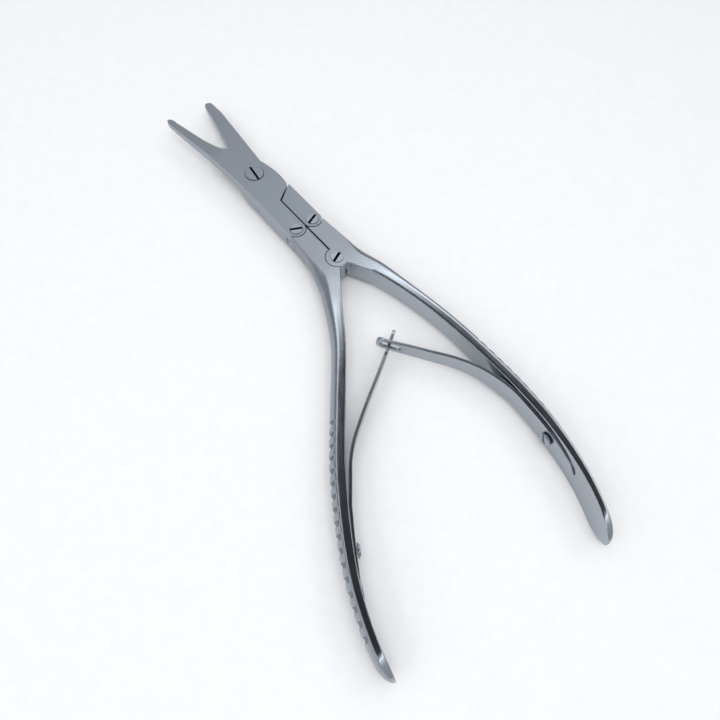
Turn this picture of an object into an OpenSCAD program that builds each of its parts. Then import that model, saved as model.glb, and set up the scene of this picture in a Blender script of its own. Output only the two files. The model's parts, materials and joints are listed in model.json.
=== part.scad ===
// Double-action spring shears: two short lapped blades, driven through two
// link screws by two long handles that a pair of leaf springs pushes open.
// Frame: origin on the rear pivot's axis at the flat underside of the head,
// +Y forward through the front pivot to the blades, +Z up out of the head.

/* [Head] */
// Thickness of the flat head, underside to top face
head_t = 7; // [6.4:0.1:7.4]
// Half the width of the head across its two flanks
head_half_w = 6.4; // [6.3:0.1:6.8]
// Width of the open seam between the left and the right side
seam_gap = 0.4; // [0.3:0.05:0.5]
// Height of the gap between the upper and the lower lapped level
lap_gap = 0.1; // [0.06:0.02:0.16]
// Gap between a rounded end and the shoulder it turns in
turn_gap = 0.25; // [0.2:0.05:0.35]

/* [Linkage] */
// Distance from the rear pivot forward to the front pivot
pivot_spacing = 44.4; // [44:0.1:45]
// Distance from the rear pivot forward to the two link screws
link_y = 16.8; // [16.5:0.1:17]
// Distance of each link screw from the seam
link_x = 3.3; // [3.25:0.05:3.35]
// Radius of the rounded end of each jaw tail
link_end_r = 3.1; // [2.9:0.05:3.1]
// Radius of the round boss at the rear pivot
rear_boss_r = 3.6; // [3.5:0.1:4.1]

/* [Blades] */
// Thickness left at a blade's tip
tip_t = 1.9; // [1.5:0.1:2.5]
// Distance forward of the rear pivot where a blade starts to get thinner
thin_from_y = 60; // [56:1:64]
// Depth of the teeth on the left blade's edge
tooth_d = 0.3; // [0.2:0.05:0.4]

/* [Handles] */
// Thickness of a grip from its flat inner face to the crest of its outer face
grip_t = 4.4; // [4:0.1:4.8]
// Thickness of a grip near its end
grip_end_t = 3.3; // [3:0.1:3.8]
// Width of a grip's flat end, measured up and down
grip_end_w = 10.4; // [9.6:0.2:11]
// Number of finger notches across each outer face
notch_count = 17; // [10:1:18]
// Distance from notch to notch
notch_pitch = 3.4; // [3:0.1:3.5]
// Depth of a notch
notch_d = 0.4; // [0.2:0.05:0.6]

/* [Leaf springs] */
// Thickness of the spring steel
leaf_t = 1.0; // [0.8:0.1:1.1]
// Width of a spring where it is screwed down
leaf_root_w = 7; // [6:0.2:7]
// Width of the right spring at its slotted tip
leaf_tip_w = 4.8; // [4.6:0.1:5.2]
// Width of the left spring's tongue
tongue_w = 1.7; // [1.4:0.1:1.9]
// Width of the slot that the tongue passes through
slot_w = 2.3; // [2.2:0.1:2.5]

/* [Screws] */
// Radius of the front pivot screw's head
front_head_r = 3.1; // [2.8:0.1:3.2]
// Radius of the heads of the three smaller pivot screws
small_head_r = 2.05; // [1.9:0.05:2.1]
// Height of a pivot screw's head above the top face
head_rise = 0.2; // [0.1:0.05:0.5]
// Radius of the front pivot screw's shank
front_shank_r = 2; // [1.8:0.1:2.2]
// Radius of the smaller pivot screws' shanks
small_shank_r = 1.4; // [1.2:0.1:1.5]
// Radial clearance of a shank in its bore
run_gap = 0.05; // [0.02:0.01:0.08]
// Radial clearance of the front pivot, which takes up the linkage's play
front_gap = 0.16; // [0.14:0.01:0.2]
// Width of the driver slot in every screw
driver_slot_w = 0.8; // [0.5:0.1:1]
// Depth of the driver slot in a pivot screw
driver_slot_d = 1.1; // [0.7:0.1:1.2]
// Radius of a spring screw's head
spring_head_r = 2; // [1.8:0.1:2.2]

/* [Hidden] */
$fn = 96;

steel = "#9aa1a8";
handle_steel = "#aab0b6";
screw_steel = "#8d949b";
spring_steel = "#7c838a";

mid_z = head_t / 2;
level_t = mid_z - lap_gap / 2;
upper_z = mid_z + lap_gap / 2;
half_seam = seam_gap / 2;
front_pivot = [0, pivot_spacing];
rear_pivot = [0, 0];
left_link = [-link_x, link_y];
right_link = [link_x, link_y];
head_sink = 1.3;
beyond = 40;

// ---------- curves ----------

function unit(v) = v / norm(v);
function last_of(list) = list[len(list) - 1];

// Point between b and c of the smooth curve a, b, c, d
function spline_point(a, b, c, d, t) =
    0.5 * (2 * b + (c - a) * t + (2 * a - 5 * b + 4 * c - d) * t * t
           + (3 * b - a - 3 * c + d) * t * t * t);

// Smooth curve through the points, in the given number of steps between each two
function spline(p, steps) = let (n = len(p) - 1) concat(
    [for (i = [0 : n - 1]) for (k = [0 : steps - 1])
        spline_point(i == 0 ? 2 * p[0] - p[1] : p[i - 1], p[i], p[i + 1],
                     i == n - 1 ? 2 * p[n] - p[n - 1] : p[i + 2], k / steps)],
    [p[n]]);

// Point and direction at distance s along a path: [x, y, dx, dy]
function walk(path, s, i = 0) = let (step = norm(path[i + 1] - path[i]), d = unit(path[i + 1] - path[i]))
    s <= step || i == len(path) - 2 ? concat(path[i] + d * s, d) : walk(path, s - step, i + 1);
function length_of(path, i = 0) =
    i >= len(path) - 1 ? 0 : norm(path[i + 1] - path[i]) + length_of(path, i + 1);

// Points beside a path; side is 1 to its left and -1 to its right
function beside(path, off) = let (n = len(path) - 1) [for (i = [0 : n])
    let (d = unit(path[min(n, i + 1)] - path[max(0, i - 1)])) path[i] + off * [-d[1], d[0]]];
function reversed(list) = [for (i = [len(list) - 1 : -1 : 0]) list[i]];

// ---------- flat shapes of the head, for the left side ----------

// The seam turns outwards at the end of the straight stretch
turn_in = [0, 29.4];
turn_out = [7.4, 34.4];
turn_dir = unit(turn_out - turn_in);
turn_off = half_seam * [-turn_dir[1], turn_dir[0]];

left_edge = [[0.1, 58.9], [-2.4, 61.6], [-4.3, 67.4], [-5.6, 74], [-7.2, 83]];
left_tip = [[-7.7, 84.6], [-8.8, 85.2], [-9.5, 84]];
left_back = [[-9.2, 79], [-8.3, 70], [-7.3, 60], [-6.6, 50], [-6.4, 42]];
right_edge = [[-0.1, 58.6], [-1.7, 63.5], [-3.1, 69], [-5.1, 78], [-6.5, 85.2]];
right_tip = [[-7.1, 86.1], [-8.2, 86.1], [-9.3, 85]];
right_back = [[-9.5, 79], [-8.6, 69], [-7.5, 59], [-6.7, 50], [-6.4, 42]];
shoulder = [[6.1, 34.6], [6.35, 37.5], [6.3, 41], [5.5, 45.8], [3.9, 50.5], [2.1, 55]];

// Zigzag of teeth laid along an edge
function toothed(path, pitch) = let (n = floor(length_of(path) / pitch)) [for (i = [0 : 2 * n])
    let (w = walk(path, i * pitch / 2)) [w[0], w[1]] + (i % 2) * tooth_d * [-w[3], w[2]]];

// Jaw whose blade lies left and whose round shoulder closes the head on the right
module jaw_outline(edge, tip, back) {
    polygon(concat(
        [[-half_seam, link_y], [-half_seam, turn_in[1] + half_seam]],
        [turn_in + turn_off + 6.7 * turn_dir],
        spline(concat(shoulder, [edge[0]]), 4),
        edge,
        spline(concat([last_of(edge)], tip, [back[0]]), 4),
        spline(back, 4),
        [[-head_half_w, 34], [-head_half_w, link_y]]));
}

// Tail of a jaw, behind the other jaw's shoulder
module tail_outline() {
    back_y = turn_in[1] - half_seam;
    slope = turn_dir[1] / turn_dir[0];
    polygon([[-half_seam, link_y], [-half_seam, back_y],
             [-head_half_w, back_y + slope * head_half_w], [-head_half_w, link_y]]);
}

module link_round(gap = 0) {
    translate(left_link) circle(link_end_r + gap);
}

module rear_round(gap = 0) {
    circle(rear_boss_r + gap);
}

module lower(h = level_t) {
    linear_extrude(h) children();
}

module upper() {
    translate([0, 0, upper_z]) linear_extrude(level_t) children();
}

// Space above a blade that gets thinner towards its tip
module thinning() {
    tip_y = 87;
    translate([-beyond / 2, 0, 0]) rotate([90, 0, 90]) linear_extrude(beyond)
        polygon([[thin_from_y, head_t], [tip_y, upper_z + tip_t],
                 [tip_y, head_t + 1], [thin_from_y, head_t + 1]]);
}

// Counterbore and bore of a pivot screw
module screw_seat(at, head_r, shank_r, gap) {
    translate([at[0], at[1], -1]) cylinder(r = shank_r + gap, h = head_t + 2);
    translate([at[0], at[1], head_t - head_sink]) cylinder(r = head_r + gap, h = head_sink + 1);
}

// Bore that a screw's shank is held in
module screw_hold(at, shank_r) {
    translate([at[0], at[1], -1]) cylinder(r = shank_r, h = head_t + 2);
}

// ---------- jaws ----------

module left_jaw() {
    color(steel) difference() {
        union() {
            upper() {
                jaw_outline(toothed(spline(left_edge, 6), 1), left_tip, left_back);
                link_round();
            }
            lower(head_t) difference() {
                tail_outline();
                link_round(turn_gap);
            }
        }
        thinning();
        screw_seat(front_pivot, front_head_r, front_shank_r, front_gap);
        screw_seat(left_link, small_head_r, small_shank_r, run_gap);
    }
}

module right_jaw() {
    color(steel) difference() {
        mirror([1, 0, 0]) union() {
            difference() {
                lower() difference() {
                    jaw_outline(spline(right_edge, 5), right_tip, right_back);
                    link_round(turn_gap);
                }
                translate([0, 0, head_t]) mirror([0, 0, 1]) thinning();
            }
            lower(head_t) difference() {
                tail_outline();
                link_round(turn_gap);
            }
            upper() {
                tail_outline();
                link_round();
            }
        }
        screw_hold(front_pivot, front_shank_r);
        screw_seat(right_link, small_head_r, small_shank_r, run_gap);
    }
}

// ---------- handles ----------

// Flat inner faces of the grips, from the crotch to the tips
left_inner = [[-1.6, -3.8], [-7.9, -12], [-17.6, -25.8], [-29, -39.5], [-40.6, -53.5],
              [-50.7, -68], [-57.4, -79.5], [-62, -91], [-64.4, -101]];
right_inner = [[1.4, -3.8], [5.6, -12], [9, -26], [10.7, -40], [11.2, -55],
               [10.7, -70], [8.9, -84], [4.9, -99], [-1.6, -113]];
// Outer sides of the arms, from the link screw back to the grip
left_arm = [[-6.5, 13], [-7.2, 8], [-8.5, 2.4], [-10.6, -3], [-12.6, -7.6]];
right_arm = [[6.6, 13], [7.1, 8], [8.3, 2.4], [9.9, -4.6], [10.9, -9.6]];

left_path = spline(left_inner, 6);
right_path = spline(right_inner, 6);

function smooth(t) = let (s = min(1, max(0, t))) s * s * (3 - 2 * s);
// A grip starts this much below the arm's two flat faces
grip_step = 0.03;
// Width and thickness of a grip at the share t of its length from the crotch
function grip_width(t) = head_t - 2 * grip_step + (grip_end_w - head_t) * smooth((t - 0.35) / 0.5);
function grip_depth(t) = grip_t + 3.6 * pow(max(0, 1 - t / 0.26), 2)
    + (grip_end_t - grip_t) * smooth((t - 0.6) / 0.35);
// The last stretch of a grip is rounded off to a half ellipse
round_share = 0.06;
function tip_round(t) = t < 1 - round_share ? 1
    : sqrt(max(0.01, 1 - pow((t - 1 + round_share) / round_share, 2)));

// Share of a grip's thickness that its rounded outside takes
round_side = 0.58;
// Cross-section of a grip: x out from the flat inner face, y up and down
function grip_section(w, d) = let (h = w / 2, e = min(0.5, h / 3), k = d * round_side) concat(
    [[0, -h + e], [e, -h], [d - k, -h]],
    [for (a = [-60 : 20 : 60]) [d - k + k * cos(a), 0.96 * h * sin(a) / sin(70)]],
    [[d - k, h], [e, h], [0, h - e]]);

// Shares of the length at which the sections stand, closer together at the tip
sections = concat([for (i = [0 : 44]) i / 48], [0.945, 0.96, 0.972, 0.982, 0.99, 0.996, 1]);

module grip(path, side) {
    total = length_of(path);
    n = len(grip_section(10, 4));
    m = len(sections) - 1;
    points = [for (t = sections) let (w = walk(path, t * total), out = side * [-w[3], w[2]])
        for (q = grip_section(grip_width(t) * tip_round(t), grip_depth(t)))
            [w[0] + out[0] * q[0], w[1] + out[1] * q[0], mid_z + q[1]]];
    walls = [for (i = [0 : m - 1]) for (k = [0 : n - 1])
        let (a = i * n + k, b = i * n + (k + 1) % n) each [[a, a + n, b + n], [a, b + n, b]]];
    ends = [[for (k = [0 : n - 1]) k], [for (k = [n - 1 : -1 : 0]) m * n + k]];
    faces = concat(walls, ends);
    polyhedron(points, side > 0 ? faces : [for (f = faces) reversed(f)]);
}

// Row of round notches across the crest of a grip, counted from the tip
notch_r = 1.1;
last_notch = 11;
module notches(path, side) {
    total = length_of(path);
    for (i = [0 : notch_count - 1]) {
        s = total - last_notch - i * notch_pitch;
        w = walk(path, s);
        off = side * (grip_depth(s / total) + notch_r - notch_d);
        translate([w[0] - off * w[3], w[1] + off * w[2], -beyond / 4])
            cylinder(r = notch_r, h = beyond, $fn = 24);
    }
}

module arm_outline(outer, start) {
    arm_front = link_y - 1.3;
    side = sign(outer[0][0]);
    polygon(concat([[side * half_seam, -rear_boss_r + 0.6], [side * half_seam, arm_front],
                    [side * head_half_w, arm_front]], outer,
                   [start + [side * 4, -4.6], start + [side * 0.4, -0.1]]));
}

// Tongue under a jaw's rounded tail, left side
module tongue_outline() {
    link_round();
    translate([-link_x - link_end_r, link_y - 5]) square([2 * link_end_r, 5]);
}

module left_handle() {
    color(handle_steel) difference() {
        union() {
            difference() {
                union() {
                    lower(head_t) arm_outline(left_arm, left_inner[0]);
                    grip(left_path, -1);
                }
                translate([0, 0, level_t]) linear_extrude(beyond) {
                    link_round(turn_gap);
                    rear_round(turn_gap);
                }
            }
            lower() {
                tongue_outline();
                rear_round();
            }
        }
        notches(left_path, -1);
        screw_hold(rear_pivot, small_shank_r);
        screw_hold(left_link, small_shank_r);
        spring_screw_hole(left_path, left_screw_s, 1);
    }
}

module right_handle() {
    color(handle_steel) difference() {
        union() {
            difference() {
                union() {
                    lower(head_t) arm_outline(right_arm, right_inner[0]);
                    grip(right_path, 1);
                }
                translate([0, 0, -1]) linear_extrude(upper_z + 1) rear_round(turn_gap);
                translate([0, 0, level_t]) linear_extrude(beyond)
                    mirror([1, 0]) link_round(turn_gap);
            }
            lower() mirror([1, 0]) tongue_outline();
            upper() rear_round();
        }
        notches(right_path, 1);
        screw_seat(rear_pivot, small_head_r, small_shank_r, run_gap);
        screw_hold(right_link, small_shank_r);
        spring_screw_hole(right_path, right_screw_s, -1);
    }
}

// ---------- leaf springs ----------

// Distances along the inner faces: where a spring leaves it, its screw, its end
left_bend_s = 65;
left_screw_s = 85.5;
left_end_s = 97.5;
right_bend_s = 62.5;
right_screw_s = 81.3;
right_end_s = 93.5;
leaf_gap = 0.05;
bend_gap = 0.2;
// Place where the two springs cross at rest
crossing = [-6.7, -33];
tongue_reach = 5.6;
tip_reach = 4.2;

function leaf_centre(path, s, side) = let (w = walk(path, s), off = side * (leaf_gap + leaf_t / 2))
    [w[0] - off * w[3], w[1] + off * w[2]];
left_bend = leaf_centre(left_path, left_bend_s, 1);
right_bend = leaf_centre(right_path, right_bend_s, -1);

// Strip of spring steel lying along a grip's inner face
module spring_root(path, from_s, to_s, screw_s, side) {
    steps = 12;
    line = [for (i = [0 : steps]) leaf_centre(path, from_s + (to_s - from_s) * i / steps, side)];
    difference() {
        translate([0, 0, mid_z - leaf_root_w / 2]) linear_extrude(leaf_root_w)
            polygon(concat(beside(line, leaf_t / 2), reversed(beside(line, -leaf_t / 2))));
        spring_screw_axis(path, screw_s, side) {
            cylinder(r = spring_shank_r + run_gap, h = 8, center = true);
            // spot face under the screw's head
            translate([0, 0, leaf_gap + leaf_t]) cylinder(r = spring_head_r + 0.3, h = 2);
        }
    }
}

// Free blade of a spring: flat profile stood up on a slightly bowed line
module spring_leaf(bend, reach, bow) {
    run = crossing - bend;
    total = norm(run) + reach;
    translate([bend[0], bend[1], mid_z]) rotate(atan2(run[1], run[0])) intersection() {
        translate([0, 0, -leaf_root_w / 2]) linear_extrude(leaf_root_w) {
            line = spline([[bend_gap, 0], [total / 2, bow], [total, 0]], 8);
            polygon(concat(beside(line, leaf_t / 2), reversed(beside(line, -leaf_t / 2))));
        }
        rotate([90, 0, 0]) linear_extrude(12, center = true) children();
    }
}

module left_spring_root() {
    color(spring_steel)
        spring_root(left_path, left_bend_s + bend_gap, left_end_s, left_screw_s, 1);
}

module left_spring_leaf() {
    cross = norm(crossing - left_bend);
    neck = cross - 5;
    color(spring_steel) spring_leaf(left_bend, tongue_reach, 0)
        polygon([[0, -leaf_root_w / 2], [neck, -leaf_tip_w / 2], [neck + 1.6, -tongue_w / 2],
                 [cross + tongue_reach, -tongue_w / 2], [cross + tongue_reach, tongue_w / 2],
                 [neck + 1.6, tongue_w / 2], [neck, leaf_tip_w / 2], [0, leaf_root_w / 2]]);
}

module right_spring_root() {
    color(spring_steel)
        spring_root(right_path, right_bend_s + bend_gap, right_end_s, right_screw_s, -1);
}

module right_spring_leaf() {
    cross = norm(crossing - right_bend);
    slot_back = 4;
    slot_front = 3.2;
    color(spring_steel) spring_leaf(right_bend, tip_reach, -0.9) difference() {
        polygon([[0, -leaf_root_w / 2], [cross + tip_reach, -leaf_tip_w / 2],
                 [cross + tip_reach, leaf_tip_w / 2], [0, leaf_root_w / 2]]);
        translate([cross - slot_back, -slot_w / 2]) square([slot_back + slot_front, slot_w]);
    }
}

// ---------- screws ----------

spring_shank_r = 1.1;
spring_shank_l = 2.8;
spring_dome = 0.9;

// Puts its children on a spring screw's axis, +Z away from the grip, 0 on its face
module spring_screw_axis(path, s, side) {
    w = walk(path, s);
    translate([w[0], w[1], mid_z]) rotate([0, 90, atan2(side * w[2], -side * w[3])]) children();
}

module spring_screw_hole(path, s, side) {
    spring_screw_axis(path, s, side)
        translate([0, 0, -spring_shank_l]) cylinder(r = spring_shank_r, h = 2 * spring_shank_l);
}

module spring_screw(path, s, side) {
    seat = leaf_gap + leaf_t;
    color(screw_steel) spring_screw_axis(path, s, side) difference() {
        union() {
            translate([0, 0, -spring_shank_l]) cylinder(r = spring_shank_r, h = spring_shank_l + seat);
            translate([0, 0, seat]) rotate_extrude()
                polygon([[0, 0], [spring_head_r, 0], [spring_head_r, spring_dome * 0.45],
                         [spring_head_r * 0.7, spring_dome * 0.9], [0, spring_dome]]);
        }
        rotate(35) translate([-3, -driver_slot_w / 2, seat + 0.4]) cube([6, driver_slot_w, 2]);
    }
}

module pivot_screw(at, head_r, shank_r, turn) {
    color(screw_steel) translate([at[0], at[1], 0]) difference() {
        union() {
            cylinder(r = shank_r, h = head_t);
            translate([0, 0, head_t - head_sink]) cylinder(r = head_r, h = head_sink + head_rise);
        }
        rotate(turn) translate([-head_r - 1, -driver_slot_w / 2, head_t + head_rise - driver_slot_d])
            cube([2 * head_r + 2, driver_slot_w, 2]);
    }
}

module front_pivot_screw() {
    pivot_screw(front_pivot, front_head_r, front_shank_r, 82);
}

module rear_pivot_screw() {
    pivot_screw(rear_pivot, small_head_r, small_shank_r, 22);
}

module left_link_screw() {
    pivot_screw(left_link, small_head_r, small_shank_r, -28);
}

module right_link_screw() {
    pivot_screw(right_link, small_head_r, small_shank_r, 20);
}

module left_spring_screw() {
    spring_screw(left_path, left_screw_s, 1);
}

module right_spring_screw() {
    spring_screw(right_path, right_screw_s, -1);
}

left_handle();
right_handle();
left_jaw();
right_jaw();
front_pivot_screw();
rear_pivot_screw();
left_link_screw();
right_link_screw();
left_spring_root();
left_spring_leaf();
left_spring_screw();
right_spring_root();
right_spring_leaf();
right_spring_screw();
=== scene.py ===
"""Double-action spring shears in satin stainless steel, laid open on a pale table."""
import json
import math
from collections import namedtuple

import bmesh
import bpy
from mathutils import Matrix, Vector


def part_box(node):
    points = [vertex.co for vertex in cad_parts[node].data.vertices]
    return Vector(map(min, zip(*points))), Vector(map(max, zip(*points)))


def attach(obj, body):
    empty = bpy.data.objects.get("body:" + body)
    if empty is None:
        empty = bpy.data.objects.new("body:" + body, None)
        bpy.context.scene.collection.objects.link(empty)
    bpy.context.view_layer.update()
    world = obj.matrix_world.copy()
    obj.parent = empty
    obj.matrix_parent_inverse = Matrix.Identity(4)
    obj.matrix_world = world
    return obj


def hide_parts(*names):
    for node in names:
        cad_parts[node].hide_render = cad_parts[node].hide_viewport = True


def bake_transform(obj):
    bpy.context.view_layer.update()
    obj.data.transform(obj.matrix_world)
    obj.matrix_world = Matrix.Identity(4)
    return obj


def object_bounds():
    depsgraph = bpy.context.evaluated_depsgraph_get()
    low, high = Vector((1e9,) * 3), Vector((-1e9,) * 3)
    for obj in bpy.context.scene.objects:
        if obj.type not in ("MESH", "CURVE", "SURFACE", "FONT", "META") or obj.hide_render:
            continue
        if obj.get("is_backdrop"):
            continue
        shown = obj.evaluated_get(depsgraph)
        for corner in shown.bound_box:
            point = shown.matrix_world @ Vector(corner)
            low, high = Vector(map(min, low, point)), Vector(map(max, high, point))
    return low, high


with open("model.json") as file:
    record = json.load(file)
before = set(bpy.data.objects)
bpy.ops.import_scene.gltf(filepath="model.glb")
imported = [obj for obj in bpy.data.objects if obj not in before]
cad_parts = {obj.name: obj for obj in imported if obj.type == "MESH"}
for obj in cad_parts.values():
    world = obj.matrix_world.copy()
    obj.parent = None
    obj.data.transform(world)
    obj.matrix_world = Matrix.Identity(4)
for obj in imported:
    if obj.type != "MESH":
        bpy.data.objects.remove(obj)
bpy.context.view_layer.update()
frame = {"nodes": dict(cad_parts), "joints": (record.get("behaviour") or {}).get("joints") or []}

MM = 0.001
PIVOTS = {joint["name"]: Vector(joint["pos_m"]) / MM for joint in frame["joints"]}
REAR, LEFT_LINK, RIGHT_LINK = PIVOTS["squeeze"], PIVOTS["left_jaw_turn"], PIVOTS["right_jaw_turn"]
HEAD_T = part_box("right_jaw")[1].z / MM

# ---------- sizes of the forgings and springs, in millimetres ----------

MID_Z = HEAD_T / 2
LAP = 0.1              # gap between the upper and the lower level of the head
UPPER_Z, LOWER_Z = MID_Z + LAP / 2, MID_Z - LAP / 2
BELOW, ABOVE = -1, HEAD_T + 2          # heights that clear the head, for cuts
TURN_GAP = 0.25        # gap round a turning end
BOSS_R = 3.6
LINK_R = 3.1
SEAT_R = 2.1
SEAT_DEPTH = 1.3
SHANK_R = 1.4
SHANK_PLAY = 0.05      # the rear screw turns in the right handle
SET_IN = 0.004         # added levels stay this far inside the forging's own faces
EDGE_BREAK = 0.1       # rounding of the machined edges
HEAD_END = -7.5        # Y behind which the handles have no machined edges
GRIP_EDGE = 0.28       # rounding of a handle's inner edges

GRIP_T, GRIP_END_T, GRIP_END_W = 4.4, 3.0, 10.4
GRIP_JOIN = 8.0        # distance along the inner line at which the grip's own section takes over
LEFT_RIDGE, RIGHT_RIDGE = 0.54, 0.56   # where a grip's flat top ends, as a share of its depth
ARM_RIDGE = 0.9
GRIP_POWER, ARM_POWER = 1.7, 3.4       # fullness of the rounded outside
NOTCH_COUNT, NOTCH_PITCH, NOTCH_R, NOTCH_D, LAST_NOTCH = 17, 3.4, 1.1, 0.4, 11
CURVE_STEPS = 8

LEAF_T, LEAF_W, LEAF_TIP_W, LEAF_GAP = 1.0, 7.0, 4.8, 0.05
TAIL_THIN = 0.45       # thickness of a spring's tail, as a share of the leaf's
TAPER_LENGTH = 30

LEFT_INNER = [(-1.6, -3.8), (-7.9, -12), (-17.6, -25.8), (-29, -39.5), (-40.6, -53.5),
              (-50.7, -68), (-57.4, -79.5), (-62, -91), (-64.4, -101)]
RIGHT_INNER = [(1.4, -3.8), (5.6, -12), (9, -26), (10.7, -40), (11.2, -55),
               (10.7, -70), (8.9, -84), (4.9, -99), (-1.6, -113)]
# Rungs of the arms from the seam to the flank, from the link screw back to the grip
LEFT_ARM = [((-0.2, 15.5), (-6.5, 15.5)), ((-0.2, 10.5), (-6.9, 11)), ((-0.2, 5), (-7.5, 7)),
            ((-0.2, -0.5), (-8.4, 3.2)), ((-0.6, -2.9), (-9.4, 0.2)), ((-2.1, -4.3), (-10.2, -2.3))]
RIGHT_ARM = [((0.2, 15.5), (6.5, 15.5)), ((0.2, 10.5), (6.9, 11)), ((0.2, 5), (7.4, 6.5)),
             ((0.2, -0.5), (8.2, 2.6)), ((0.6, -2.9), (8.9, -0.6)), ((1.9, -4.5), (9.6, -3.4))]


# ---------- lines ----------

def smooth_line(points, steps):
    """Catmull-Rom curve through the points."""
    p = [Vector(q) for q in points]
    p = [2 * p[0] - p[1]] + p + [2 * p[-1] - p[-2]]
    line = []
    for a, b, c, d in zip(p, p[1:], p[2:], p[3:]):
        for k in range(steps):
            t = k / steps
            line.append(0.5 * (2 * b + (c - a) * t + (2 * a - 5 * b + 4 * c - d) * t * t
                               + (3 * b - a - 3 * c + d) * t ** 3))
    return line + [p[-2]]


def length_of(line):
    return sum((b - a).length for a, b in zip(line, line[1:]))


def walk(line, s):
    """Point and direction at distance s along a line."""
    for a, b in zip(line, line[1:]):
        step = (b - a).length
        if s <= step or b is line[-1]:
            return a + (b - a) * (s / step), (b - a).normalized()
        s -= step


def ease(t):
    t = min(1, max(0, t))
    return t * t * (3 - 2 * t)


def left_of(d):
    return Vector((-d.y, d.x))


# ---------- mesh helpers ----------

def piece_from(name, bm):
    """Makes an object in metres from a bmesh in millimetres."""
    bmesh.ops.recalc_face_normals(bm, faces=bm.faces)
    if bm.calc_volume(signed=True) < 0:     # the strips come out facing inwards
        bmesh.ops.reverse_faces(bm, faces=bm.faces)
    mesh = bpy.data.meshes.new(name)
    bm.to_mesh(mesh)
    bm.free()
    mesh.transform(Matrix.Scale(MM, 4))
    piece = bpy.data.objects.new(name, mesh)
    bpy.context.scene.collection.objects.link(piece)
    return piece


def settle(piece):
    """Applies a piece's modifiers to its mesh."""
    bpy.context.view_layer.update()
    shaped = piece.evaluated_get(bpy.context.evaluated_depsgraph_get())
    mesh = bpy.data.meshes.new_from_object(shaped)
    piece.modifiers.clear()
    piece.data = mesh
    return piece


def join_shape(piece, tool, operation):
    """Cuts, or adds, the tool's closed shapes, and removes the tool."""
    cut = piece.modifiers.new("shape", "BOOLEAN")
    cut.object, cut.operation, cut.solver = tool, operation, "EXACT"
    settle(piece)
    bpy.data.objects.remove(tool)


def add_plate(bm, outline, low, high):
    """A closed plate with that outline, between two heights."""
    lower = [bm.verts.new((x, y, low)) for x, y in outline]
    upper = [bm.verts.new((x, y, high)) for x, y in outline]
    bm.faces.new(lower[::-1])
    bm.faces.new(upper)
    for k in range(len(outline)):
        n = (k + 1) % len(outline)
        bm.faces.new((lower[k], lower[n], upper[n], upper[k]))


def disc(centre, radius, start=0, end=360, count=128):
    """Points along an arc, or round a whole circle."""
    whole = end - start == 360
    steps = count if whole else count // 2
    angles = [math.radians(start + (end - start) * k / steps) for k in range(steps + (not whole))]
    return [(centre[0] + radius * math.cos(a), centre[1] + radius * math.sin(a)) for a in angles]


def plates(name, *parts):
    """One object of several closed plates: (outline, low, high)."""
    bm = bmesh.new()
    for outline, low, high in parts:
        add_plate(bm, outline, low, high)
    return piece_from(name, bm)


def sharp_edges(bm, angle, keep=lambda edge: True):
    return [e for e in bm.edges if len(e.link_faces) == 2
            and e.calc_face_angle(0) > math.radians(angle) and keep(e)]


def break_edges(piece, width, segments=2, flat=1.0, front_of=None):
    """Merges flat faces and rounds the sharp edges, as a machined edge is broken by hand.
    front_of limits both to the part of the piece ahead of that Y, in millimetres."""
    bm = bmesh.new()
    bm.from_mesh(piece.data)
    bmesh.ops.remove_doubles(bm, verts=bm.verts, dist=0.0002 * MM)
    bm.normal_update()
    ahead = (lambda v: True) if front_of is None else (lambda v: v.co.y > front_of * MM)

    def level(face):
        return front_of is None or max(abs(face.normal.z), abs(face.normal.x)) > 0.99999

    inside = [e for e in bm.edges if all(map(ahead, e.verts)) and all(map(level, e.link_faces))]
    within = {v for e in inside for v in e.verts if all(map(level, v.link_faces))}
    bmesh.ops.dissolve_limit(bm, angle_limit=math.radians(flat), use_dissolve_boundaries=False,
                             verts=list(within), edges=inside)
    edges = sharp_edges(bm, 35, lambda e: all(map(ahead, e.verts)))
    bmesh.ops.bevel(bm, geom=edges, offset=width * MM, offset_type="OFFSET", segments=segments,
                    profile=0.5, affect="EDGES", clamp_overlap=True)
    bm.to_mesh(piece.data)
    bm.free()


def shade(piece, angle=32):
    """Smooth shading that keeps big flat faces flat and sharp edges sharp."""
    piece.data.shade_smooth()
    piece.data.set_sharp_from_angle(angle=math.radians(angle))
    weighted = piece.modifiers.new("flats", "WEIGHTED_NORMAL")
    weighted.keep_sharp = True
    weighted.weight = 90
    settle(piece)


# ---------- materials ----------

BLAST_START, BLAST_END = 2, -14    # Y in millimetres between which the blasted finish fades out
HEAD_ROUGHNESS = 0.36


def linear(hex_colour):
    """Linear RGBA of an sRGB hex colour."""
    parts = [int(hex_colour[k:k + 2], 16) / 255 for k in (1, 3, 5)]
    return [c / 12.92 if c < 0.04045 else ((c + 0.055) / 1.055) ** 2.4 for c in parts] + [1]


def add(tree, kind, settings=None, links=None):
    """Adds a node; settings go to its inputs or properties, links come from other nodes' outputs."""
    node = tree.nodes.new(kind)
    for key, value in (settings or {}).items():
        if isinstance(key, int) or key in node.inputs:
            node.inputs[key].default_value = value
        else:
            setattr(node, key, value)
    for key, source in (links or {}).items():
        tree.links.new(source, node.inputs[key])
    return node


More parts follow.
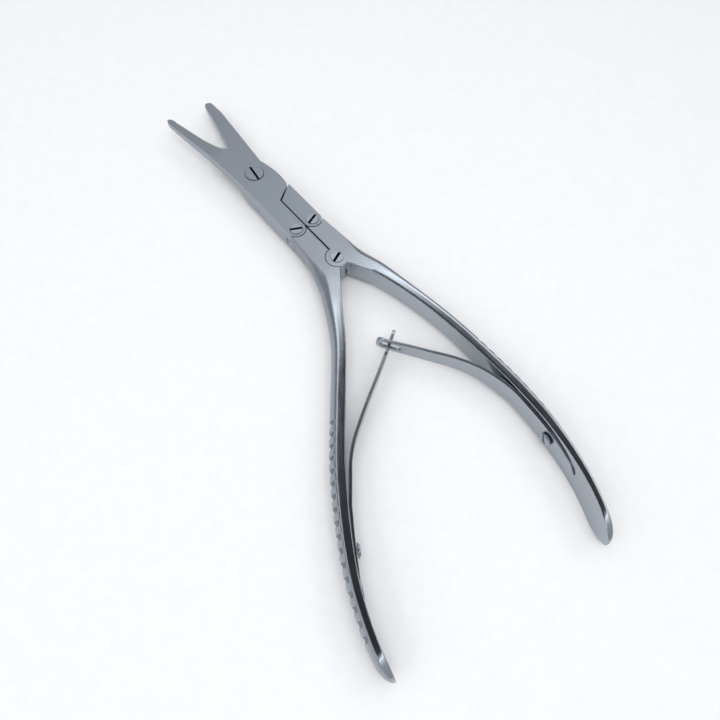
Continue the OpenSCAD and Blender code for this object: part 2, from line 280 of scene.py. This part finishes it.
def steel(name, colour, dark, roughness, spread, grain_mm, grain_bump, coordinate="Object",
          stretch=(1, 1, 1), blasted_roughness=None):
    """Bare stainless steel. The grain is one noise at the size of the abrasive's marks;
    it shifts roughness and colour a little and raises a very fine relief. Where a blasted roughness
    is given, the piece has it on the head and passes over to its own behind the rear pivot."""
    finish = bpy.data.materials.new(name)
    finish.use_nodes = True
    tree = finish.node_tree
    shader = tree.nodes["Principled BSDF"]
    shader.inputs["Metallic"].default_value = 1.0
    where = add(tree, "ShaderNodeTexCoord")
    laid = add(tree, "ShaderNodeMapping", {"Scale": stretch}, {"Vector": where.outputs[coordinate]})
    grain = add(tree, "ShaderNodeTexNoise", {"Scale": 1 / (grain_mm * MM), "Detail": 3, "Roughness": 0.55},
                {"Vector": laid.outputs[0]})
    clouds = add(tree, "ShaderNodeTexNoise", {"Scale": 1 / (6 * MM), "Detail": 2},
                 {"Vector": where.outputs["Object"]})
    both = add(tree, "ShaderNodeMix", {"data_type": "FLOAT", "Factor": 0.35},
               {2: grain.outputs["Fac"], 3: clouds.outputs["Fac"]})
    rough = add(tree, "ShaderNodeMapRange", {"From Min": 0.3, "From Max": 0.7, "To Min": roughness - spread,
                                             "To Max": roughness + spread}, {"Value": both.outputs[0]})
    tint = add(tree, "ShaderNodeMix", {"data_type": "RGBA", 6: linear(dark), 7: linear(colour)},
               {0: both.outputs[0]})
    surface = rough.outputs[0]
    if blasted_roughness:
        along = add(tree, "ShaderNodeSeparateXYZ", links={0: where.outputs["Object"]})
        on_head = add(tree, "ShaderNodeMapRange",
                      {"From Min": BLAST_END * MM, "From Max": BLAST_START * MM, "To Min": 0.0,
                       "To Max": blasted_roughness - roughness}, {"Value": along.outputs["Y"]})
        surface = add(tree, "ShaderNodeMath", {"operation": "ADD"},
                      {0: rough.outputs[0], 1: on_head.outputs[0]}).outputs[0]
    relief = add(tree, "ShaderNodeBump", {"Strength": grain_bump, "Distance": 0.00002},
                 {"Height": grain.outputs["Fac"]})
    tree.links.new(tint.outputs[2], shader.inputs["Base Color"])
    tree.links.new(surface, shader.inputs["Roughness"])
    tree.links.new(relief.outputs[0], shader.inputs["Normal"])
    return finish


def blasted_steel():
    """Glass-bead blasted stainless: an even, matt grey with a fine speckle."""
    return steel("bead_blasted_stainless", "#a8afb6", "#9aa1a9", HEAD_ROUGHNESS, 0.05, 0.12, 0.35)


def brushed_grip_steel():
    """Stainless satin-polished lengthwise: streaks along the grip, glossier than the head."""
    return steel("satin_polished_stainless", "#b0b6bc", "#a2a8af", 0.16, 0.04, 0.25, 0.25,
                 "UV", (0.03, 1, 1), HEAD_ROUGHNESS)


def spring_strip_steel():
    """Cold-rolled spring strip: darker, glossy, with rolling marks along the strip."""
    return steel("rolled_spring_strip", "#b0b6bc", "#9da4ab", 0.19, 0.05, 0.3, 0.25, "UV", (0.04, 1, 1))


def turned_screw_steel():
    """Turned stainless screw heads: fine tool marks on a satin face."""
    return steel("turned_stainless", "#adb3ba", "#9aa1a8", 0.27, 0.06, 0.15, 0.3)


def flank_steel_painted_shade():
    """Outside of the handles, belt-finished coarser than the rest so that it doesn't slip."""
    return steel("belt_finish_and_painted_shade", "#999fa6", "#8b9198", 0.24, 0.05, 0.2, 0.3,
                 "UV", (0.05, 1, 1), HEAD_ROUGHNESS)


def notch_shade_steel():
    """Bottoms of the finger notches, which the polishing belt doesn't reach."""
    return steel("unpolished_notch_painted_shade", "#757c84", "#636a72", 0.4, 0.05, 0.15, 0.4)


def slot_shade_steel():
    """Driver slots: sawn, unpolished and darkened by oxide."""
    return steel("unpolished_slot_painted_shade", "#3c3f43", "#26282b", 0.5, 0.06, 0.1, 0.4)


BLASTED, TURNED, STRIP = blasted_steel(), turned_screw_steel(), spring_strip_steel()
GRIP, FLANK_SHADE, NOTCH_SHADE, SLOT_SHADE = brushed_grip_steel(), flank_steel_painted_shade(), notch_shade_steel(), slot_shade_steel()


def dress(piece, slot, *finishes):
    """Gives a piece its finishes, the first for face index 0, and the part's material slot."""
    for finish in finishes:
        piece.data.materials.append(finish)


# ---------- handles ----------

Station = namedtuple("Station", "point out depth half ridge power from_tip")
Station.__doc__ = """A section's place on a handle: inner point, direction outwards, sizes and shape."""


def grip_depth(t):
    """Depth of a grip from its inner face outwards: thick where it leaves the arm, thin at the tip."""
    neck = 3.6 * max(0, 1 - t / 0.26) ** 2
    return GRIP_T + neck + (GRIP_END_T - GRIP_T) * ease((t - 0.55) / 0.4)


def grip_width(t):
    return HEAD_T + (GRIP_END_W - HEAD_T) * ease((t - 0.35) / 0.5)


def tip_round(t, share):
    """Elliptic rounding-off over the last share of a grip."""
    return 1 if t < 1 - share else math.sqrt(max(0.004, 1 - ((t - 1 + share) / share) ** 2))


def half_round(depth, half, ridge, power):
    """Section of a handle as (out, up) pairs: flat inner face, flat top and bottom as far as
    the ridge, and a rounded outside whose power makes it fuller or squarer."""
    edge = min(GRIP_EDGE, half / 3, depth / 4)
    top = [(0, half - edge)]
    top += [(edge - edge * math.cos(a), half - edge + edge * math.sin(a)) for a in (0.5, 1.05)]
    top += [(edge + (ridge * depth - edge) * k / 3, half) for k in range(4)]
    steps = 16
    for k in range(1, steps):
        a = k / steps * math.pi / 2
        top.append((ridge * depth + (1 - ridge) * depth * math.sin(a) ** (2 / power),
                    half * math.cos(a) ** (2 / power)))
    return [(0, 0)] + top + [(depth, 0)] + [(x, -z) for x, z in reversed(top)]


def notch_depth(from_tip):
    """Depth of the finger notches at that distance from the grip's tip."""
    place = (from_tip - LAST_NOTCH) / NOTCH_PITCH
    nearest = min(NOTCH_COUNT - 1, max(0, round(place)))
    away = abs(place - nearest) * NOTCH_PITCH
    return max(0, math.sqrt(NOTCH_R ** 2 - away ** 2) - NOTCH_R + NOTCH_D) if away < NOTCH_R else 0


def press_in(section, ridge_x, depth, half, cut):
    """The section with its rounded outside pressed in, fully at the crest and less towards the ridge."""
    pressed = []
    for x, z in section:
        press = cut * ease(((x - ridge_x) / (depth - ridge_x) - 0.2) / 0.4)
        pressed.append((x - press, z * (1 - 0.7 * press / half)))
    return pressed


def station_step(s, total):
    """Distance to the next station: short over the notches and shortest round the tip."""
    over_notches = total - LAST_NOTCH - NOTCH_PITCH * NOTCH_COUNT < s < total - 7
    return 0.17 if over_notches else 0.3 if s < total - 2 else 0.08


def handle_stations(arm, inner, side, grip_ridge):
    """All of a handle's stations, from the link screw over the arm and along the grip to its tip."""
    line = smooth_line(inner, CURVE_STEPS)
    total = length_of(line)
    stations = []
    point, way = walk(line, GRIP_JOIN)
    last_out = point + side * left_of(way) * grip_depth(GRIP_JOIN / total)
    arm_in = smooth_line([a for a, b in arm] + [point], CURVE_STEPS)
    arm_out = smooth_line([b for a, b in arm] + [last_out], CURVE_STEPS)
    for k, (a, b) in enumerate(zip(arm_in, arm_out)):
        share = k / (len(arm_in) - 1)
        stations.append(Station(a, (b - a).normalized(), (b - a).length, MID_Z,
                                ARM_RIDGE + (grip_ridge - ARM_RIDGE) * ease((share - 0.2) / 0.8),
                                ARM_POWER + (GRIP_POWER - ARM_POWER) * ease(share / 0.6), total))
    s = GRIP_JOIN
    while s < total:
        s = min(total, s + station_step(s, total))
        point, way = walk(line, s)
        t = s / total
        stations.append(Station(point, side * left_of(way), grip_depth(t) * tip_round(t, 0.05),
                                grip_width(t) / 2 * tip_round(t, 0.09), grip_ridge, GRIP_POWER, total - s))
    return stations


def sweep(name, stations):
    """Closed skin through the sections at every station, with lengthwise UVs in metres. Faces have
    index 1 on the rounded outside and 2 in the finger notches."""
    bm = bmesh.new()
    uv = bm.loops.layers.uv.new("UVMap")
    rings, along, notched = [], [0], []
    for at in stations:
        cut = notch_depth(at.from_tip)
        shape = half_round(at.depth, at.half, at.ridge, at.power)
        if cut > 0:
            shape = press_in(shape, at.ridge * at.depth, at.depth, at.half, cut)
        notched.append(cut > 0.03)
        spots = [at.point + at.out * x for x, z in shape]
        rings.append([bm.verts.new((spot.x, spot.y, MID_Z + z)) for spot, (x, z) in zip(spots, shape)])
    for here, before in zip(stations[1:], stations):
        along.append(along[-1] + (here.point - before.point).length)
    # The points keep their order from section to section, so the last section tells where each one is
    reach = [(x / at.depth - at.ridge) / (1 - at.ridge) for x, z in shape]
    count = len(reach)
    around = [0.35 * k for k in range(count + 1)]
    for i in range(len(rings) - 1):
        for k in range(count):
            n = (k + 1) % count
            face = bm.faces.new((rings[i][k], rings[i][n], rings[i + 1][n], rings[i + 1][k]))
            out = min(reach[k], reach[n])
            # index 2, the notch bottoms, takes a darker colour that is painted shade in the notches
            face.material_index = 2 if notched[i] and notched[i + 1] and out > 0.35 else int(out > 0.1)
            corners = ((i, k), (i, k + 1), (i + 1, k + 1), (i + 1, k))
            for loop, (row, column) in zip(face.loops, corners):
                loop[uv].uv = (along[row] * MM, around[column] * MM)
    bm.faces.new(rings[0][::-1])
    bm.faces.new(rings[-1])
    return piece_from(name, bm)


def tongue(link):
    """Outline of the half-thickness tongue that reaches under a jaw's tail."""
    root = link.y - 5
    return disc(link, LINK_R, 0, 180) + [(link.x - LINK_R, root), (link.x + LINK_R, root)]


def make_left_handle():
    piece = sweep("left_handle_forging", handle_stations(LEFT_ARM, LEFT_INNER, -1, LEFT_RIDGE))
    join_shape(piece, plates("recess", (disc(REAR, BOSS_R + TURN_GAP), LOWER_Z, ABOVE),
                             (disc(LEFT_LINK, LINK_R + TURN_GAP), LOWER_Z, ABOVE)), "DIFFERENCE")
    join_shape(piece, plates("added", (disc(REAR, BOSS_R), SET_IN, LOWER_Z),
                             (tongue(LEFT_LINK), SET_IN, LOWER_Z)), "UNION")
    join_shape(piece, plates("bores", (disc(REAR, SHANK_R), BELOW, ABOVE),
                             (disc(LEFT_LINK, SHANK_R), BELOW, ABOVE)), "DIFFERENCE")
    return piece


def make_right_handle():
    piece = sweep("right_handle_forging", handle_stations(RIGHT_ARM, RIGHT_INNER, 1, RIGHT_RIDGE))
    join_shape(piece, plates("recess", (disc(REAR, BOSS_R + TURN_GAP), BELOW, UPPER_Z),
                             (disc(RIGHT_LINK, LINK_R + TURN_GAP), LOWER_Z, ABOVE)), "DIFFERENCE")
    join_shape(piece, plates("added", (disc(REAR, BOSS_R), UPPER_Z, HEAD_T - SET_IN),
                             (tongue(RIGHT_LINK), SET_IN, LOWER_Z)), "UNION")
    join_shape(piece, plates("bores", (disc(REAR, SHANK_R + SHANK_PLAY), BELOW, HEAD_T - 1),
                             (disc(RIGHT_LINK, SHANK_R), BELOW, ABOVE)), "DIFFERENCE")
    join_shape(piece, plates("seat", (disc(REAR, SEAT_R), HEAD_T - SEAT_DEPTH, ABOVE)), "DIFFERENCE")
    return piece


def handles():
    for make, node in ((make_left_handle, "left_handle"), (make_right_handle, "right_handle")):
        piece = make()
        break_edges(piece, EDGE_BREAK, front_of=HEAD_END, flat=0.3)
        shade(piece, 38)
        # the outside's finish is darker than the grip's, painted shade of the outer sides; the notch finish
        # is painted shade in the notches
        dress(piece, "handle_steel", GRIP, FLANK_SHADE, NOTCH_SHADE)
        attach(piece, node)
        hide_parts(node)


# ---------- leaf springs ----------

def strip_outline(profile, slot=None):
    """Flat strip with rounded edges from a list of (along, half width), as a bmesh in millimetres,
    with X along it, Y across it and Z through its thickness."""
    outline = profile + [(s, -w) for s, w in reversed(profile) if w > 0]
    flat = bpy.data.curves.new("strip", "CURVE")
    flat.dimensions, flat.fill_mode = "2D", "BOTH"
    edge_r = 0.16
    flat.extrude, flat.bevel_depth, flat.bevel_resolution = LEAF_T / 2 - edge_r, edge_r, 2
    flat.offset = -edge_r
    for loop in [outline] + ([slot] if slot else []):
        spline = flat.splines.new("POLY")
        spline.points.add(len(loop) - 1)
        spline.use_cyclic_u = True
        for point, (x, y) in zip(spline.points, loop):
            point.co = (x, y, 0, 1)
    holder = bpy.data.objects.new("strip", flat)
    bpy.context.scene.collection.objects.link(holder)
    bpy.context.view_layer.update()
    mesh = bpy.data.meshes.new_from_object(holder.evaluated_get(bpy.context.evaluated_depsgraph_get()))
    bpy.data.objects.remove(holder)
    bm = bmesh.new()
    bm.from_mesh(mesh)
    bmesh.ops.remove_doubles(bm, verts=bm.verts, dist=1e-4)
    return bm


def leaf_spring(name, line, grip_side, profile, slot=None):
    """A strip laid along a line in plan, standing on edge about the handles' mid height. Its tail is
    ground thinner and stays against the grip, which is on the line's left (1) or right (-1)."""
    bm = strip_outline(profile, slot)
    total = length_of(line)
    for k in range(1, int(total)):     # a cut at every millimetre, so that the strip can bend
        whole = bm.verts[:] + bm.edges[:] + bm.faces[:]
        bmesh.ops.bisect_plane(bm, geom=whole, plane_co=(k, 0, 0), plane_no=(1, 0, 0), dist=1e-5)
    uv = bm.loops.layers.uv.verify()
    for face in bm.faces:
        for loop in face.loops:
            loop[uv].uv = (loop.vert.co.x * MM, (loop.vert.co.y + loop.vert.co.z) * MM)
    for vert in bm.verts:
        point = walk(line, max(0, vert.co.x))[0]
        ahead = walk(line, min(total, vert.co.x + 0.6))[0]
        behind = walk(line, max(0, vert.co.x - 0.6))[0]
        side = left_of((ahead - behind).normalized()) * grip_side
        thin = TAIL_THIN + (1 - TAIL_THIN) * ease(vert.co.x / TAPER_LENGTH)
        spot = point + side * (vert.co.z * thin + (1 - thin) * LEAF_T / 2)
        vert.co = (spot.x, spot.y, MID_Z + vert.co.y)
    return piece_from(name, bm)


def root_line(inner, side, from_s, to_s):
    """Middle of a spring's thickness along a grip's inner face, from the tail towards the bend."""
    line = smooth_line(inner, CURVE_STEPS)
    points = []
    steps = 10
    for k in range(steps + 1):
        point, way = walk(line, from_s + (to_s - from_s) * k / steps)
        points.append(point + side * left_of(way) * (LEAF_GAP + LEAF_T / 2))
    return points


def rounded_tail(reach, steps=14):
    """Half-ellipse end of a strip as (along, half width) pairs."""
    quarter = [k / steps * math.pi / 2 for k in range(steps + 1)]
    return [(reach * (1 - math.cos(a)), LEAF_W / 2 * math.sin(a)) for a in quarter]


def make_left_spring():
    """The left grip's spring: it narrows to a finger."""
    free = [(-42.4, -57.7), (-39.3, -54), (-35.6, -50.6), (-31.4, -47.7), (-23, -42.6), (-14.6, -37.8),
            (-7.9, -33.75), (-2.0, -30.1)]
    line = smooth_line(root_line(LEFT_INNER, 1, 97.5, 74) + [Vector(p) for p in free], 4)
    total = length_of(line)
    neck, finger = total - 10.2, 0.85      # the tip is a narrow finger that passes through the slot
    profile = rounded_tail(11) + [(34, LEAF_W / 2), (neck, LEAF_TIP_W / 2), (neck + 0.8, 1.5),
                                  (neck + 2, finger), (total - 0.8, finger), (total - 0.25, 0.6), (total, 0)]
    return leaf_spring("left_spring", line, 1, profile)


def make_right_spring():
    """The right grip's spring: its broad tip has the slot that guides the left spring's finger."""
    free = [(10.25, -68.6), (9.95, -64.8), (9.3, -61), (8.2, -56.9), (6.5, -52.8), (4.2, -48.6),
            (1.3, -44.3), (-2.8, -38.2), (-6.3, -33.1), (-8.6, -29.3)]
    line = smooth_line(root_line(RIGHT_INNER, -1, 93.5, 72) + [Vector(p) for p in free], 4)
    total = length_of(line)
    profile = rounded_tail(12) + [(32, LEAF_W / 2), (total - 1.6, LEAF_TIP_W / 2), (total - 0.7, 2.1),
                                  (total - 0.2, 1.4), (total, 0)]
    middle, half, reach = total - 4.6, 1.15, 3.4       # of the slot, which has round ends
    slot = disc((middle + reach - half, 0), half, -90, 90, 24)
    slot += disc((middle - reach + half, 0), half, 90, 270, 24)
    return leaf_spring("right_spring", line, -1, profile, slot[::-1])


def springs():
    """Each spring is one strip that bends from the handle it is screwed to towards the crossing."""
    for side, make in (("left", make_left_spring), ("right", make_right_spring)):
        piece = make()
        shade(piece, 40)
        dress(piece, "spring_steel", STRIP)
        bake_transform(piece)
        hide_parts(f"{side}_spring_root", f"{side}_spring_leaf")


# ---------- jaws and screws, from the frame's own shapes ----------

def eased_copy(node, name, body):
    """Copy of a frame shape with its edges broken, standing for it."""
    piece = bpy.data.objects.new(name, frame["nodes"][node].data.copy())
    piece.data.materials.clear()
    bpy.context.scene.collection.objects.link(piece)
    break_edges(piece, EDGE_BREAK)
    shade(piece)
    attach(piece, body)
    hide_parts(node)
    return piece


def jaws():
    for side in ("left", "right"):
        piece = eased_copy(f"{side}_jaw", f"{side}_jaw_blade", f"{side}_jaw")
        dress(piece, "blade_steel", BLASTED)


def paint_slot_shade(screw):
    """Marks the walls and floor of an upright screw's driver slot for the second finish."""
    spots = [v.co for v in screw.data.vertices]
    low, high = [Vector([pick(p[k] for p in spots) for k in range(3)]) for pick in (min, max)]
    size, middle = high - low, (low + high) / 2
    if abs(size.x - size.y) > 0.1 * MM:     # it lies on its side, in a grip
        return
    for face in screw.data.polygons:
        off = (face.center - middle).xy.length
        sunk = high.z - face.center.z
        if 0.08 * MM < sunk < 1.15 * MM and off < 1.9 * MM and face.normal.z > -0.1:
            # these faces take the near-black slot colour, painted shade in the slot
            face.material_index = 1


def screws():
    riding = {"front_pivot_screw": "right_jaw", "rear_pivot_screw": "left_handle",
              "left_link_screw": "left_handle", "right_link_screw": "right_handle",
              "left_spring_screw": "left_handle", "right_spring_screw": "right_handle"}
    for node, body in riding.items():
        piece = eased_copy(node, f"{node}_turned", body)
        # the slot's walls and floor get a near-black colour, painted shade in the slot
        paint_slot_shade(piece)
        dress(piece, "screw_steel", TURNED, SLOT_SHADE)


# ---------- table, light and camera ----------

def table_top():
    """Matt white table, seamless out to its edges."""
    bm = bmesh.new()
    reach, thickness, clearance = 900, 10, 0.02
    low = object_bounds()[0][2] / MM - clearance
    add_plate(bm, [(-reach, -reach), (reach, -reach), (reach, reach), (-reach, reach)], low - thickness, low)
    table = piece_from("table_top", bm)
    finish = bpy.data.materials.new("white_laminate")
    finish.use_nodes = True
    tree = finish.node_tree
    shader = tree.nodes["Principled BSDF"]
    shader.inputs["Roughness"].default_value = 0.85
    where = add(tree, "ShaderNodeTexCoord")
    speckle = add(tree, "ShaderNodeTexNoise", {"Scale": 1 / (3 * MM), "Detail": 2},
                  {0: where.outputs["Object"]})
    tone = add(tree, "ShaderNodeMix", {"data_type": "RGBA", 6: linear("#f4f4f4"), 7: linear("#fafafa")},
               {0: speckle.outputs["Fac"]})
    tree.links.new(tone.outputs[2], shader.inputs["Base Color"])
    table.data.materials.append(finish)
    table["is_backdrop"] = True


def studio():
    """Light tent: dark in its rounded open top, a bright rim round that, even grey walls, and a
    black flag at +X; with two soft lamps that the steel doesn't mirror."""
    world = bpy.data.worlds.new("light_tent")
    world.use_nodes = True
    bpy.context.scene.world = world
    tree = world.node_tree
    background = tree.nodes["Background"]
    way = add(tree, "ShaderNodeTexCoord")
    part = add(tree, "ShaderNodeSeparateXYZ", links={0: way.outputs["Generated"]})
    opening_x, opening_y, squareness = 0.64, 0.42, 2.5     # a squareness of 2 is an ellipse

    def share(direction, reach):
        """Part of the rounded opening's formula that one direction adds."""
        size = add(tree, "ShaderNodeMath", {"operation": "ABSOLUTE"}, {0: direction})
        relative = add(tree, "ShaderNodeMath", {"operation": "DIVIDE", 1: reach}, {0: size.outputs[0]})
        return add(tree, "ShaderNodeMath", {"operation": "POWER", 1: squareness},
                   {0: relative.outputs[0]}).outputs[0]

    total = add(tree, "ShaderNodeMath", {"operation": "ADD"},
                {0: share(part.outputs["X"], opening_x), 1: share(part.outputs["Y"], opening_y)})
    edge = add(tree, "ShaderNodeMath", {"operation": "POWER", 1: 1 / squareness}, {0: total.outputs[0]})
    rim_at = 0.4       # place of the opening's edge on the ramp
    scaled = add(tree, "ShaderNodeMath", {"operation": "MULTIPLY", 1: rim_at}, {0: edge.outputs[0]})
    ramp = add(tree, "ShaderNodeValToRGB", links={0: scaled.outputs[0]})
    bands = [(0.0, 0.05), (0.385, 0.06), (0.415, 2.6), (0.44, 3.2), (0.457, 1.6), (0.48, 1.05),
             (0.54, 0.86), (0.6, 0.58), (1.0, 0.5)]
    elements = ramp.color_ramp.elements
    while len(elements) < len(bands):
        elements.new(0.5)
    for element, (place, light) in zip(elements, bands):
        element.position = place
        element.color = (light * 0.97, light * 0.99, light * 1.03, 1)
    flag = add(tree, "ShaderNodeMapRange", {"From Min": 0.74, "From Max": 0.84, "To Min": 1.0,
                                            "To Max": 0.25}, {"Value": part.outputs["X"]})
    tree.links.new(flag.outputs[0], background.inputs["Strength"])
    tree.links.new(ramp.outputs[0], background.inputs["Color"])
    add_lamp("overhead_fill", (-0.05, -0.08, 0.6), 1.7)
    add_lamp("left_key", (-0.9, 0.3, 0.7), 0.6)


def add_lamp(name, place, power):
    """A half-metre square lamp aimed at the shears."""
    light = bpy.data.lights.new(name, "AREA")
    light.size, light.energy = 0.5, power
    lamp = bpy.data.objects.new(name, light)
    lamp.location = place
    lamp.rotation_euler = (-Vector(place)).to_track_quat("-Z", "Y").to_euler()
    lamp.visible_glossy = False
    bpy.context.scene.collection.objects.link(lamp)


def camera():
    """Looks down on the shears from behind and to the left, with the blades at the upper left."""
    eye = Vector((-72.2, -87.9, 162.6)) * MM
    aim = Vector((-16.6, -31.2, 3.5)) * MM
    upward = Vector((0.565, 0.695, 0.445))
    back = (eye - aim).normalized()
    right = upward.cross(back).normalized()
    turn = Matrix((right, back.cross(right), back)).transposed().to_4x4()
    lens = bpy.data.cameras.new("camera")
    lens.lens, lens.sensor_width = 30, 36
    lens.clip_start = 0.005
    holder = bpy.data.objects.new("camera", lens)
    holder.matrix_world = Matrix.Translation(eye) @ turn
    bpy.context.scene.collection.objects.link(holder)
    bpy.context.scene.camera = holder


bpy.context.scene.view_settings.view_transform = "Standard"
handles()
springs()
jaws()
screws()
table_top()
studio()
camera()
